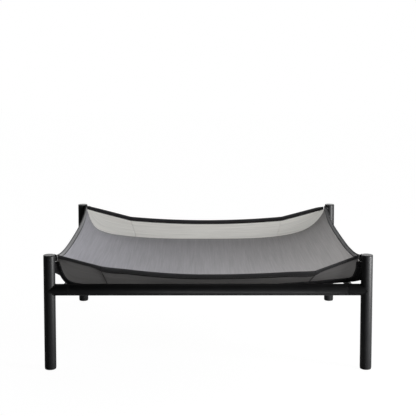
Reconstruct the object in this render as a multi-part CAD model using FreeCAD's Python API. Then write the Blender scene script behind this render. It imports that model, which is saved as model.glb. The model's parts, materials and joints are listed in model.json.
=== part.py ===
import FreeCAD, Part
import math
import os

# An outdoor dog bed: a low tube frame with a mesh sling hung from its four post tops.
# Millimetres. +X is the bed's long way, +Y runs from front to back, +Z is up.
# The origin is on the floor, at the middle of the footprint.

Vector = FreeCAD.Vector

# Overall sizes
POST_X = 435.0            # post axes, left and right of the middle
POST_Y = 350.0            # post axes, before and behind the middle
FRONT_HEIGHT = 318.0      # floor to the top of a front post
BACK_HEIGHT = 343.0       # floor to the top of a back post

# Main tube, used for posts, stubs and the front and back rails
TUBE_R = 16.0
TUBE_WALL = 2.0
RAIL_Z = 221.0            # axis height of all four rails
JOINT_OFFSET = 53.0       # post axis to the joint line between stub and rail

# Side rails, set inboard of the posts under the sling's edges
SIDE_R = 9.5
SIDE_WALL = 1.6
SIDE_INSET = 41.0         # post axis to side rail axis
SIDE_JOINT = 44.0         # post axis to the joint line between side stub and side rail

# Spigots and their screws
SPIGOT_GAP = 0.2
SPIGOT_WALL = 2.0
SPIGOT_HALF = 30.0
SCREW_FROM_JOINT = 15.0
SCREW_R = 3.0
SCREW_HEAD_R = 5.0
SCREW_HEAD_H = 2.6
SOCKET_R = 1.9              # hexagon sockets of screws and bolts, as round holes
SOCKET_DEPTH = 1.7

# Post ends
CAP_H = 2.5
CAP_BEVEL = 0.6
GLIDE_H = 4.0
GLIDE_R = 15.4
GLIDE_STEM_H = 12.0
GLIDE_GAP = 0.3

# Sling corners: everything is stacked outwards from the post at 45 degrees
BOLT_DROP = 11.0          # post top to bolt axis
BOLT_R = 3.0
BOLT_HEAD_R = 5.5
BOLT_HEAD_H = 3.2
NUT_R = 4.6
NUT_FLANGE_R = 6.4
NUT_FLANGE_H = 0.8
NUT_LENGTH = 11.0
TAB_AT = 17.6             # post axis to the tab's near face
TAB_H = 2.2
TAB_R = 10.4
EYELET_BORE_R = 3.6
EYELET_BARREL_R = 4.6
EYELET_FLANGE_R = 8.0
EYELET_FLANGE_H = 0.5
WASHER_R = 7.0
WASHER_H = 1.0

# Sling cloth
CLOTH = 1.6
HEM_WIDTH = 13.0
HEM_THICK = 3.6
SEW_GAP = 0.6             # clear space left between two sewn pieces
CORNER_X = 421.0          # where the sling's side edges end, at the posts
EDGE_BOW = 5.0            # how far a side edge bows inwards half way along
EDGE_SAG = 22.0           # how far a side edge sags half way along
EDGE_DROP = 3.0           # post top to the top of the hem beside it
SEAM_Y = 322.0            # seam between the base panel and an end wall
CORNER_Y = 335.0          # the same seam at the corners
HEM_Y = 338.0             # top edge of an end wall
HEM_END_X = 414.0         # where an end wall's hem stops, beside the post
MIDDLE_SAG = 12.0         # how far the base sags half way from front to back
KINK_LEAN = 0.93          # the sloping seams of an end wall lean inwards as they go down
WALL_END_GAP = 4.0        # from the end of a hem to the end of the wall below it
WALL_END_U = 0.975        # where an end wall's foot stops, as a share of the way to the corner
CORNER_TURN = 26          # power of the turn from SEAM_Y to CORNER_Y
TAPE_IN = 9.0             # seam tape: from the seam up over the wall
TAPE_OUT = 3.0            # and from the seam outwards
TAPE_FLARE = 2.0          # how much further out it reaches beside a post
TAPE_FLARE_FROM = 0.95
TAPE_THICK = 1.0

CORNERS = [
    ("front_left", -1, -1, FRONT_HEIGHT),
    ("front_right", 1, -1, FRONT_HEIGHT),
    ("back_left", -1, 1, BACK_HEIGHT),
    ("back_right", 1, 1, BACK_HEIGHT),
]

# One end of the sling: its side, post height, seam height in the middle, hem height in the middle
# and at the kinks, where the kinks are, the two powers and the share that shape its seam, and
# where its seam tape stops
ENDS = {
    "front": dict(side=-1, height=FRONT_HEIGHT, seam=216.0, hem=253.0, kink_hem=275.0,
                  kink_x=295.0, low_power=4.0, high_power=30.0, low_share=0.14, tape_end=0.988),
    "back": dict(side=1, height=BACK_HEIGHT, seam=225.0, hem=289.0, kink_hem=301.0,
                 kink_x=265.0, low_power=3.0, high_power=22.0, low_share=0.30, tape_end=0.978),
}
MIDDLE_POWER = 2.8

X_AXIS = Vector(1, 0, 0)
Y_AXIS = Vector(0, 1, 0)
Z_AXIS = Vector(0, 0, 1)


def tube(radius, wall, start, axis, length):
    outer = Part.makeCylinder(radius, length, start, axis)
    return outer.cut(Part.makeCylinder(radius - wall, length, start, axis))


def export(name, solids):
    shape = solids if isinstance(solids, Part.Shape) else Part.makeCompound(solids)
    shape.exportStep(os.path.join("parts", name + ".step"))


# Frame -------------------------------------------------------------------------------------------

def post_axis(sx, sy, z):
    return Vector(sx * POST_X, sy * POST_Y, z)


def inward(sx, sy):
    """The level direction from a post towards the middle of the bed, at 45 degrees."""
    return Vector(-sx, -sy, 0).normalize()


def post(sx, sy, height):
    """An upright tube with a 45 degree hole for the rivet nut."""
    length = height - CAP_H - GLIDE_H
    body = tube(TUBE_R, TUBE_WALL, post_axis(sx, sy, GLIDE_H), Z_AXIS, length)
    hole = Part.makeCylinder(NUT_R, TUBE_R + 2, post_axis(sx, sy, height - BOLT_DROP), inward(sx, sy))
    return body.cut(hole)


def post_cap(sx, sy, height):
    """A flat disc welded on the tube, with a bevelled top edge."""
    base = post_axis(sx, sy, height - CAP_H)
    disc = Part.makeCylinder(TUBE_R, CAP_H - CAP_BEVEL, base, Z_AXIS)
    top = Part.makeCone(TUBE_R, TUBE_R - CAP_BEVEL, CAP_BEVEL, base + Vector(0, 0, CAP_H - CAP_BEVEL))
    return disc.fuse(top).removeSplitter()


def foot_glide(sx, sy):
    """A moulded foot: a disc under the tube and a hollow stem pushed up inside it."""
    disc = Part.makeCylinder(GLIDE_R, GLIDE_H, post_axis(sx, sy, 0), Z_AXIS)
    stem_r = TUBE_R - TUBE_WALL - GLIDE_GAP
    stem = tube(stem_r, SPIGOT_WALL, post_axis(sx, sy, GLIDE_H), Z_AXIS, GLIDE_STEM_H)
    return disc.fuse(stem)


def rail_stub(sx, sy):
    """A short level tube, coped round the post that it is welded to."""
    start = post_axis(sx, sy, RAIL_Z)
    stub = tube(TUBE_R, TUBE_WALL, start, Vector(-sx, 0, 0), JOINT_OFFSET)
    keep_out = Part.makeCylinder(TUBE_R, 3 * TUBE_R, start - Vector(0, 0, 1.5 * TUBE_R))
    return largest(stub.cut(keep_out))


def side_stub(sx, sy):
    """A thinner stub towards the other end of the bed, coped round the rail stub."""
    start = Vector(sx * (POST_X - SIDE_INSET), sy * POST_Y, RAIL_Z)
    stub = tube(SIDE_R, SIDE_WALL, start, Vector(0, -sy, 0), SIDE_JOINT)
    keep_out = Part.makeCylinder(TUBE_R, 4 * TUBE_R, start - Vector(2 * TUBE_R, 0, 0), X_AXIS)
    return largest(stub.cut(keep_out))


def largest(shape):
    return max(shape.Solids, key=lambda solid: solid.Volume)


def screw_hole(at, toward):
    return Part.makeCylinder(SCREW_R, TUBE_R + 2, at, toward)


def long_rail(sy):
    """A front or back rail between two stubs, with a screw hole in the inner side of each end."""
    half = POST_X - JOINT_OFFSET
    rail = tube(TUBE_R, TUBE_WALL, Vector(-half, sy * POST_Y, RAIL_Z), X_AXIS, 2 * half)
    for sx in (-1, 1):
        at = Vector(sx * (half - SCREW_FROM_JOINT), sy * POST_Y, RAIL_Z)
        rail = rail.cut(screw_hole(at, -sy * Y_AXIS))
    return rail


def side_rail(sx):
    half = POST_Y - SIDE_JOINT
    x = sx * (POST_X - SIDE_INSET)
    rail = tube(SIDE_R, SIDE_WALL, Vector(x, -half, RAIL_Z), Y_AXIS, 2 * half)
    for sy in (-1, 1):
        at = Vector(x, sy * (half - SCREW_FROM_JOINT), RAIL_Z)
        rail = rail.cut(screw_hole(at, -Z_AXIS))
    return rail


def spigot(joint, axis, radius, wall, screw_at, toward):
    """A sleeve inside a stub and its rail, with a hole for the screw that holds it."""
    outer = radius - wall - SPIGOT_GAP
    body = tube(outer, SPIGOT_WALL, joint - axis * SPIGOT_HALF, axis, 2 * SPIGOT_HALF)
    return body.cut(screw_hole(screw_at, toward))


def screw(at, radius, wall, toward):
    """A button-head screw through a rail's wall. Its head is on the side that toward points to."""
    seat = at + toward * radius
    inside = wall + SPIGOT_WALL + 2
    head = Part.makeCylinder(SCREW_HEAD_R, SCREW_HEAD_H, seat, toward)
    shank = Part.makeCylinder(SCREW_R - 0.1, inside, seat - toward * inside, toward)
    return head.fuse(shank).cut(socket(seat + toward * SCREW_HEAD_H, toward))


def socket(top, toward):
    return Part.makeCylinder(SOCKET_R, SOCKET_DEPTH, top - toward * SOCKET_DEPTH, toward)


def rail_joint(sx, sy):
    """Joint line and screw position of a front or back rail end."""
    joint = Vector(sx * (POST_X - JOINT_OFFSET), sy * POST_Y, RAIL_Z)
    return joint, joint - Vector(sx * SCREW_FROM_JOINT, 0, 0)


def side_joint(sx, sy):
    joint = Vector(sx * (POST_X - SIDE_INSET), sy * (POST_Y - SIDE_JOINT), RAIL_Z)
    return joint, joint - Vector(0, sy * SCREW_FROM_JOINT, 0)


# Corner fittings ---------------------------------------------------------------------------------

def stack_point(sx, sy, height, distance):
    """A point on the bolt's axis, at a distance from the post's axis."""
    return post_axis(sx, sy, height - BOLT_DROP) + inward(sx, sy) * distance


def corner_tab(sx, sy, height):
    """A round of doubled webbing, punched for the eyelet."""
    start = stack_point(sx, sy, height, TAB_AT)
    return tube(TAB_R, TAB_R - EYELET_BARREL_R - 0.1, start, inward(sx, sy), TAB_H)


def eyelet(sx, sy, height):
    """A flanged ring set through the tab."""
    axis = inward(sx, sy)
    near = stack_point(sx, sy, height, TAB_AT - EYELET_FLANGE_H)
    far = stack_point(sx, sy, height, TAB_AT + TAB_H)
    barrel = Part.makeCylinder(EYELET_BARREL_R, TAB_H + 2 * EYELET_FLANGE_H, near, axis)
    back = Part.makeCylinder(EYELET_FLANGE_R, EYELET_FLANGE_H, near, axis)
    front = Part.makeCylinder(EYELET_FLANGE_R, EYELET_FLANGE_H, far, axis)
    bore = Part.makeCylinder(EYELET_BORE_R, TAB_H + 2 * EYELET_FLANGE_H, near, axis)
    return barrel.fuse([back, front]).cut(bore)


def washer(sx, sy, height):
    axis = inward(sx, sy)
    start = stack_point(sx, sy, height, TAB_AT + TAB_H + EYELET_FLANGE_H)
    disc = Part.makeCylinder(WASHER_R, WASHER_H, start, axis)
    return disc.cut(Part.makeCylinder(BOLT_R + 0.3, WASHER_H, start, axis))


def bolt(sx, sy, height):
    """A button-head bolt through the eyelet into the rivet nut."""
    axis = inward(sx, sy)
    seat = TAB_AT + TAB_H + EYELET_FLANGE_H + WASHER_H
    shank_start = TUBE_R - NUT_LENGTH + 2
    shank = Part.makeCylinder(BOLT_R, seat - shank_start, stack_point(sx, sy, height, shank_start), axis)
    seat_point = stack_point(sx, sy, height, seat)
    head = Part.makeCone(BOLT_HEAD_R, BOLT_HEAD_R - 2, BOLT_HEAD_H, seat_point, axis)
    return shank.fuse(head.cut(socket(seat_point + axis * BOLT_HEAD_H, axis)))


def rivet_nut(sx, sy, height):
    """A threaded sleeve set in the post's wall, its thin flange on the outside."""
    axis = inward(sx, sy)
    sleeve = tube(NUT_R - 0.1, NUT_R - 0.1 - BOLT_R - 0.1,
                  stack_point(sx, sy, height, TUBE_R - NUT_LENGTH), axis, NUT_LENGTH)
    flange = tube(NUT_FLANGE_R, NUT_FLANGE_R - BOLT_R - 0.1,
                  stack_point(sx, sy, height, TUBE_R), axis, NUT_FLANGE_H)
    return sleeve.fuse(flange)


# Sling cloth -------------------------------------------------------------------------------------

def mix(a, b, t):
    return a + (b - a) * t


def edge_point(s):
    """The top of a side hem: x and z at s, which runs from -1 at the front to 1 at the back."""
    along = (s + 1) / 2
    straight = mix(FRONT_HEIGHT, BACK_HEIGHT, along) - EDGE_DROP
    return CORNER_X - EDGE_BOW * (1 - s * s), straight - EDGE_SAG * (1 - s ** 4)


def rise(u, s):
    """How far up towards the side edge the base is, from 0 in the middle to 1 at the edge.

    Half way along it is one power of u. Towards either end it changes to that end's seam,
    which is a low power plus a high power, so it stays flat and then turns up sharply."""
    end = ENDS["front"] if s < 0 else ENDS["back"]
    share = end["low_share"]
    seam = share * u ** end["low_power"] + (1 - share) * u ** end["high_power"]
    weight = abs(s) ** 3
    return mix(u ** MIDDLE_POWER, seam, weight)


def edge_slope(s):
    """The slope of rise at the side edge."""
    end = ENDS["front"] if s < 0 else ENDS["back"]
    share = end["low_share"]
    seam = share * end["low_power"] + (1 - share) * end["high_power"]
    return mix(MIDDLE_POWER, seam, abs(s) ** 3)


def base_middle(s):
    """Height of the base along the middle of the bed."""
    straight = mix(ENDS["front"]["seam"], ENDS["back"]["seam"], (s + 1) / 2)
    return straight - MIDDLE_SAG * (1 - s * s)


def base_point(u, s):
    """A point of the base panel: u from -1 to 1 across, s from -1 to 1 front to back."""
    edge_x, edge_z = edge_point(s)
    a = abs(u)
    reach = SEAM_Y + (CORNER_Y - SEAM_Y) * a ** CORNER_TURN
    z = mix(base_middle(s), edge_z, rise(a, s))
    return Vector(u * edge_x, s * reach, z)


def hem_share(s):
    """The share of u that a side hem takes up."""
    edge_x, edge_z = edge_point(s)
    steep = (edge_z - base_middle(s)) * edge_slope(s)
    return HEM_WIDTH / math.hypot(edge_x, steep)


def hem_top(end, x):
    """Height of an end wall's top edge: a shallow arc between the kinks, then straight to the post."""
    a = abs(x)
    if a <= end["kink_x"]:
        return mix(end["hem"], end["kink_hem"], (a / end["kink_x"]) ** 2)
    t = (a - end["kink_x"]) / (HEM_END_X - end["kink_x"])
    return mix(end["kink_hem"], end["height"] - EDGE_DROP, t)


def wall_point(end, x, u, v):
    """A point of an end wall: v is 0 at the hem and 1 at the seam with the base."""
    top = Vector(x, end["side"] * HEM_Y, hem_top(end, x) - HEM_WIDTH - SEW_GAP)
    low = base_point(u, end["side"]) + Vector(0, end["side"] * (CLOTH + SEW_GAP) * 0.75, 0)
    return top + (low - top) * v


def sheet_solid(rows, thick):
    """A closed solid of one thickness round a grid of points."""
    count, width = len(rows), len(rows[0])
    above, below = [], []
    for i in range(count):
        for j in range(width):
            along = rows[min(i + 1, count - 1)][j] - rows[max(i - 1, 0)][j]
            across = rows[i][min(j + 1, width - 1)] - rows[i][max(j - 1, 0)]
            normal = along.cross(across).normalize() * (thick / 2)
            above.append(rows[i][j] + normal)
            below.append(rows[i][j] - normal)
    points = above + below
    facets = []
    for i in range(count - 1):
        for j in range(width - 1):
            a, b = i * width + j, (i + 1) * width + j
            c, d = b + 1, a + 1
            k = count * width
            facets += [(a, b, c), (a, c, d), (a + k, c + k, b + k), (a + k, d + k, c + k)]
    rim = [j for j in range(width)]
    rim += [i * width + width - 1 for i in range(1, count)]
    rim += [(count - 1) * width + j for j in range(width - 2, -1, -1)]
    rim += [i * width for i in range(count - 2, 0, -1)]
    for n, a in enumerate(rim):
        b = rim[(n + 1) % len(rim)]
        facets += [(a, b, b + count * width), (a, b + count * width, a + count * width)]
    shape = Part.Shape()
    shape.makeShapeFromMesh((points, facets), 0.001)
    solid = Part.makeSolid(shape)
    return solid if solid.Volume > 0 else solid.reversed()


def spread(start, stop, count):
    return [mix(start, stop, n / (count - 1)) for n in range(count)]


def sling_base():
    """The trough between the side hems. Its columns crowd towards the steep edges."""
    rows = []
    for s in spread(-1, 1, 15):
        limit = 1 - hem_share(s) - SEW_GAP / CORNER_X
        across = [limit * math.sin(math.pi / 2 * q) for q in spread(-1, 1, 21)]
        rows.append([base_point(u, s) for u in across])
    return sheet_solid(rows, CLOTH)


def side_hem(sx):
    rows = []
    for s in spread(-1, 1, 17):
        share = hem_share(s)
        rows.append([base_point(sx * mix(1 - share, 1, q), s) for q in (0, 0.5, 1)])
    return sheet_solid(rows, HEM_THICK)


def end_hem(end):
    """The folded tape along an end wall's top edge, from post to post."""
    half = spread(0, end["kink_x"], 9) + spread(end["kink_x"], HEM_END_X, 6)[1:]
    xs = [-x for x in reversed(half[1:])] + half
    rows = [[Vector(x, end["side"] * HEM_Y, hem_top(end, x) - HEM_WIDTH * q) for q in (0, 1)] for x in xs]
    return sheet_solid(rows, HEM_THICK)


def wall_centre(end):
    reach = end["kink_x"] - SEW_GAP / 2
    rows = []
    for x in spread(-reach, reach, 17):
        rows.append([wall_point(end, x, x * KINK_LEAN / CORNER_X, v) for v in spread(0, 1, 4)])
    return sheet_solid(rows, CLOTH)


def wall_corner(end, sx):
    """The piece between a kink and the post: its seam runs down and out round the corner."""
    start_u = (end["kink_x"] + SEW_GAP / 2) * KINK_LEAN / CORNER_X
    rows = []
    for t in spread(0, 1, 11):
        x = sx * mix(end["kink_x"] + SEW_GAP / 2, HEM_END_X - WALL_END_GAP, t)
        u = sx * mix(start_u, WALL_END_U, math.sin(math.pi / 2 * t))
        rows.append([wall_point(end, x, u, v) for v in spread(0, 1, 4)])
    return sheet_solid(rows, CLOTH)


def wall_y(end, x, z):
    """How far from the middle of the bed an end wall is, at a width and a height."""
    low = base_point(min(abs(x) / CORNER_X, 1.0), end["side"])
    top_z = hem_top(end, x) - HEM_WIDTH
    t = min(max((z - low.z) / (top_z - low.z), 0.0), 1.0)
    return mix(abs(low.y), HEM_Y, t)


def seam_tape(end):
    """A flat tape over the seam between the base and an end wall, on the wall's outer face."""
    side = end["side"]
    clear = 2 * CLOTH + SEW_GAP
    rows = []
    for q in spread(-1, 1, 49):
        u = end["tape_end"] * math.sin(math.pi / 2 * q)
        seam = base_point(u, side)
        ahead = base_point(u + 0.001, side) - base_point(u - 0.001, side)
        out = Vector(ahead.z, 0, -ahead.x).normalize()
        flare = TAPE_FLARE * max(abs(u) - TAPE_FLARE_FROM, 0) / (end["tape_end"] - TAPE_FLARE_FROM)
        row = []
        for reach in (TAPE_OUT + flare, 0, -TAPE_IN / 2, -TAPE_IN):
            at = seam + out * reach
            row.append(Vector(at.x, side * (wall_y(end, at.x, at.z) + clear), at.z))
        rows.append(row)
    return sheet_solid(rows, TAPE_THICK)


# Build -------------------------------------------------------------------------------------------

def main():
    os.makedirs("parts", exist_ok=True)
    for name, sx, sy, height in CORNERS:
        export("post_" + name, post(sx, sy, height))
        export("post_cap_" + name, post_cap(sx, sy, height))
        export("foot_glide_" + name, foot_glide(sx, sy))
        export("rail_stub_" + name, rail_stub(sx, sy))
        export("side_stub_" + name, side_stub(sx, sy))
        export("corner_tab_" + name, corner_tab(sx, sy, height))
        joint, at = rail_joint(sx, sy)
        export("rail_spigot_" + name, spigot(joint, X_AXIS, TUBE_R, TUBE_WALL, at, -sy * Y_AXIS))
        joint, at = side_joint(sx, sy)
        export("side_spigot_" + name, spigot(joint, Y_AXIS, SIDE_R, SIDE_WALL, at, -Z_AXIS))
    export("front_rail", long_rail(-1))
    export("back_rail", long_rail(1))
    export("side_rail_left", side_rail(-1))
    export("side_rail_right", side_rail(1))
    signs = [(sx, sy) for name, sx, sy, height in CORNERS]
    export("rail_screws", [screw(rail_joint(sx, sy)[1], TUBE_R, TUBE_WALL, -sy * Y_AXIS) for sx, sy in signs])
    export("side_rail_screws", [screw(side_joint(sx, sy)[1], SIDE_R, SIDE_WALL, -Z_AXIS) for sx, sy in signs])
    for name, make in (("sling_eyelets", eyelet), ("sling_washers", washer),
                       ("sling_bolts", bolt), ("rivet_nuts", rivet_nut)):
        export(name, [make(sx, sy, height) for corner, sx, sy, height in CORNERS])
    export("sling_base", sling_base())
    export("side_hem_left", side_hem(-1))
    export("side_hem_right", side_hem(1))
    for name, end in ENDS.items():
        export(name + "_hem", end_hem(end))
        export(name + "_wall_centre", wall_centre(end))
        export(name + "_wall_left", wall_corner(end, -1))
        export(name + "_wall_right", wall_corner(end, 1))
        export(name + "_seam_tape", seam_tape(end))


main()
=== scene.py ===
import json
import math

import bmesh
import bpy
import numpy as np
from bpy.props import FloatProperty, FloatVectorProperty, IntProperty, PointerProperty
from bpy.types import Operator, Panel, PropertyGroup
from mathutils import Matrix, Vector

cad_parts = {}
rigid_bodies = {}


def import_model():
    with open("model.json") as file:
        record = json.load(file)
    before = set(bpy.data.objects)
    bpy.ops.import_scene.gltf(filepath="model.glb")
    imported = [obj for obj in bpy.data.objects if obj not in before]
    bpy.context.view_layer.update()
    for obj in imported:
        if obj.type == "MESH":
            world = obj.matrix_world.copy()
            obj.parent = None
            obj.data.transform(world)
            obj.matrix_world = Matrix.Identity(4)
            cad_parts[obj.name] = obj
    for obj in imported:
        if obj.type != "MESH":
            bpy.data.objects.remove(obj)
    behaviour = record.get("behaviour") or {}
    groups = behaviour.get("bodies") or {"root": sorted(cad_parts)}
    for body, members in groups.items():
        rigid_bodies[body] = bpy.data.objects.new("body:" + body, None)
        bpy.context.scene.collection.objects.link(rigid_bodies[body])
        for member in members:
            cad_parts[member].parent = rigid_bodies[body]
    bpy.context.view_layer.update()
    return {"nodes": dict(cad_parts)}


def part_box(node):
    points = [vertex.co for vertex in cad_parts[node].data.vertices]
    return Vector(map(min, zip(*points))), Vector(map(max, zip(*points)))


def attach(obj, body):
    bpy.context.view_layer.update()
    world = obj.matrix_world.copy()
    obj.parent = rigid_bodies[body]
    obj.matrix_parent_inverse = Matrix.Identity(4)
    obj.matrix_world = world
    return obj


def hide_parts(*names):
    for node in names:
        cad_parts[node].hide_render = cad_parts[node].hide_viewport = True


bl_info = {
    "name": "Sling Dog Bed",
    "version": (1, 0, 0),
    "blender": (4, 5, 0),
    "location": "View3D > Sidebar > Dog Bed",
    "description": "Builds the cloth, tubes and fittings of a raised dog bed round its frame",
    "category": "Object",
}

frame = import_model()
MM = 0.001
SAME_POINT = 1e-6      # points closer than this are one

CORNERS = ("front_left", "front_right", "back_left", "back_right")
ENDS = ("front", "back")


# Places read from the frame ----------------------------------------------------------------------

def low_high(node):
    """The two corners of a node's box as arrays."""
    low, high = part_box(node)
    return np.array(low, float), np.array(high, float)


def middle(node):
    low, high = low_high(node)
    return (low + high) / 2


def corner_signs(corner):
    """Which way a corner lies from the middle: x is -1 or 1, y is -1 or 1."""
    axis = middle("post_" + corner)
    return np.sign(axis[0]), np.sign(axis[1])


def side_of(end):
    return -1.0 if end == "front" else 1.0


POST_X, POST_Y = np.abs(middle("post_front_left"))[:2]
TUBE_R = (low_high("post_front_left")[1] - low_high("post_front_left")[0])[0] / 2
RAIL_Z = middle("front_rail")[2]
RAIL_END = low_high("front_rail")[1][0]
SIDE_X = middle("side_rail_right")[0]
SIDE_R = (low_high("side_rail_right")[1] - low_high("side_rail_right")[0])[0] / 2
SIDE_END = low_high("side_rail_right")[1][1]
GLIDE_TOP = low_high("post_front_left")[0][2]
GLIDE_R = (low_high("foot_glide_front_left")[1] - low_high("foot_glide_front_left")[0])[0] / 2

TUBE_WALL, SIDE_WALL = 2 * MM, 1.6 * MM


def post_top(corner):
    return low_high("post_cap_" + corner)[1][2]


def cap_seat(corner):
    return low_high("post_" + corner)[1][2]


FRONT_TOP = post_top("front_left")
BACK_TOP = post_top("back_left")


# Sizes and colours a user would change -----------------------------------------------------------

def length(name, default, text):
    return FloatProperty(name=name, description=text, default=default, unit="LENGTH", precision=5)


def share(name, default, text):
    return FloatProperty(name=name, description=text, default=default)


def colour(name, default, text):
    return FloatVectorProperty(name=name, description=text, default=default, subtype="COLOR",
                               size=3, min=0.0, max=1.0)


class BedFrameSettings(PropertyGroup):
    """The tube frame's finish and its small edges."""
    edge: length("Edge", 0.7 * MM, "Width of the rounded edge at a tube's end")
    cap_edge: length("Cap edge", 1.1 * MM, "Radius of a post cap's top edge")
    weld: length("Weld", 1.3 * MM, "Radius of the weld bead round a stub")
    sides: IntProperty(name="Sides", description="Faces round a tube", default=96, min=16)
    coat: colour("Coat", (0.0075, 0.0076, 0.0082), "Colour of the powder coat")
    cap_coat: colour("Cap coat", (0.022, 0.022, 0.023), "Colour of the flat post caps")
    glide: colour("Glide", (0.014, 0.014, 0.015), "Colour of the moulded foot glides")
    zinc: colour("Zinc", (0.42, 0.43, 0.44), "Colour of the plated parts inside the tubes")
    fastener: colour("Fastener", (0.022, 0.022, 0.024), "Colour of the screws, bolts and washers")
    eyelet: colour("Eyelet", (0.20, 0.20, 0.20), "Colour of the eyelets")


class BedSlingSettings(PropertyGroup):
    """The sling's shape and its cloth. The heights are the frame's own."""
    edge_x: length("Corner reach", 421 * MM, "Where a side edge ends, from the middle")
    edge_bow: length("Edge bow", 5 * MM, "How far a side edge bows inwards half way along")
    edge_sag: length("Edge sag", 22 * MM, "How far a side edge sags half way along")
    edge_drop: length("Edge drop", 3 * MM, "From a post's top to the top of the hem beside it")
    seam_y: length("Seam", 322 * MM, "From the middle to the seam of an end wall")
    corner_y: length("Corner seam", 335 * MM, "The same seam at the corners")
    hem_y: length("Hem line", 338 * MM, "From the middle to the top edge of an end wall")
    hem_end: length("Hem end", 414 * MM, "Where an end wall's hem stops beside the post")
    middle_sag: length("Middle sag", 12 * MM, "How far the base sags between its end seams")
    middle_power: share("Middle power", 2.8, "How sharply the base turns up half way along")
    kink_lean: share("Kink lean", 0.93, "Foot of a sloping seam over its top, from the middle")
    front_seam: length("Front seam height", 216 * MM, "Middle of the front wall's seam")
    front_hem: length("Front hem height", 258 * MM, "Middle of the front hem's top edge")
    front_kink: length("Front kink height", 277 * MM, "Front hem's top edge at its kinks")
    front_slant: length("Front slant", 6.5 * MM, "How much higher the left front kink is")
    back_slant: length("Back slant", 0 * MM, "How much higher the left back kink is")
    front_kink_x: length("Front kink place", 295 * MM, "From the middle to a front kink")
    back_seam: length("Back seam height", 225 * MM, "Middle of the back wall's seam")
    back_hem: length("Back hem height", 289 * MM, "Middle of the back hem's top edge")
    back_kink: length("Back kink height", 301 * MM, "Back hem's top edge at its kinks")
    back_kink_x: length("Back kink place", 265 * MM, "From the middle to a back kink")
    cloth: length("Cloth", 1.1 * MM, "Thickness of the mesh cloth")
    hem_width: length("Hem width", 13 * MM, "Width of a folded hem")
    hem_thick: length("Hem thickness", 3.4 * MM, "Thickness of a folded hem")
    front_roll: FloatProperty(name="Front roll", subtype="ANGLE", default=math.radians(44),
                              description="How far the front hem leans back in the middle")
    stitch: length("Stitch", 3.4 * MM, "Length of one stitch")
    stitch_gap: length("Stitch gap", 1.3 * MM, "Gap between two stitches")
    thread: length("Thread", 0.42 * MM, "Radius of the sewing thread")
    base_inside: colour("Base inside", (0.335, 0.335, 0.345), "Top face of the base cloth")
    # Far lighter than the base's top face, which is the same cloth. The extra lightness is painted
    # light, standing in for the bright backdrop shining through the open mesh.
    wall_inside: colour("Wall inside", (0.80, 0.79, 0.75), "Inner face of the wall cloth")
    outside: colour("Outside", (0.105, 0.102, 0.102), "Outer face of the cloth")
    see_through: share("See through", 0.10, "Share of the light that passes each face of the cloth")
    hem_colour: colour("Hem", (0.040, 0.040, 0.042), "Folded hems")
    webbing: colour("Webbing", (0.016, 0.016, 0.018), "Seam tapes and corner tabs")
    thread_colour: colour("Thread colour", (0.11, 0.11, 0.11), "Sewing thread")


class BedStageSettings(PropertyGroup):
    """The floor, the lights and the camera."""
    floor: colour("Floor", (0.93, 0.93, 0.93), "Colour of the floor")
    lens: FloatProperty(name="Lens", description="Focal length in millimetres", default=76.3)
    distance: length("Distance", 2.729, "From the middle of the bed to the camera, along the floor")
    height: length("Height", 0.8454, "Camera above the floor")
    aside: length("Aside", -0.0235, "Camera to the right of the middle")
    pitch: FloatProperty(name="Pitch", description="Camera's tilt below level", subtype="ANGLE",
                         default=math.radians(4.38))
    shift_x: share("Shift across", 0.0155, "Camera shift across the picture")
    shift_y: share("Shift up", -0.19, "Camera shift up the picture")


class DogBedSettings(PropertyGroup):
    """All of the bed's settings."""
    tubes: PointerProperty(type=BedFrameSettings)
    sling: PointerProperty(type=BedSlingSettings)
    stage: PointerProperty(type=BedStageSettings)


def tubes():
    return bpy.context.scene.dog_bed.tubes


def sling():
    return bpy.context.scene.dog_bed.sling


# Mesh helpers ------------------------------------------------------------------------------------

def grid_quads(rows, columns, close_rows=False, close_columns=False):
    """Quads over a grid of points. A closed direction joins its last line to its first."""
    i = np.arange(rows if close_rows else rows - 1)
    j = np.arange(columns if close_columns else columns - 1)
    i, j = [a.ravel() for a in np.meshgrid(i, j, indexing="ij")]
    i2, j2 = (i + 1) % rows, (j + 1) % columns
    corners = [i * columns + j, i2 * columns + j, i2 * columns + j2, i * columns + j2]
    return np.stack(corners, axis=1)


def make_piece(name, points, quads, materials, uv=None, face_material=None, merge=False):
    """A smooth mesh object from points and quads, riding on the frame's one body."""
    if materials[0].name in CLOTH_FINISHES:
        points = settled(np.asarray(points, float))
    mesh = bpy.data.meshes.new(name)
    mesh.from_pydata(np.asarray(points, float).tolist(), [], np.asarray(quads).tolist())
    mesh.polygons.foreach_set("use_smooth", np.ones(len(mesh.polygons), bool))
    for material in materials:
        mesh.materials.append(material)
    if face_material is not None:
        mesh.polygons.foreach_set("material_index", np.asarray(face_material, np.int32))
    if uv is not None:
        corner_vertex = np.zeros(len(mesh.loops), np.int32)
        mesh.loops.foreach_get("vertex_index", corner_vertex)
        layer = mesh.uv_layers.new(name="cloth")
        layer.data.foreach_set("uv", np.asarray(uv, np.float32)[corner_vertex].ravel())
    if merge:
        merge_points(mesh)
    mesh.validate()
    mesh.update()
    piece = bpy.data.objects.new(name, mesh)
    bpy.context.scene.collection.objects.link(piece)
    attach(piece, "root")
    return piece


def merge_points(mesh):
    """Closes poles and seams by merging doubled points, then turns the faces outwards."""
    work = bmesh.new()
    work.from_mesh(mesh)
    bmesh.ops.remove_doubles(work, verts=work.verts, dist=SAME_POINT)
    bmesh.ops.recalc_face_normals(work, faces=work.faces)
    work.to_mesh(mesh)
    work.free()


def join_parts(parts):
    """Several (points, quads) as one, for a group of like pieces."""
    points, quads, count = [], [], 0
    for part_points, part_quads in parts:
        points.append(part_points.reshape(-1, 3))
        quads.append(part_quads + count)
        count += len(points[-1])
    return np.concatenate(points), np.concatenate(quads)


def round_angles(count):
    """Angles evenly round a circle."""
    return np.linspace(0, 2 * np.pi, count, endpoint=False)


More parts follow.
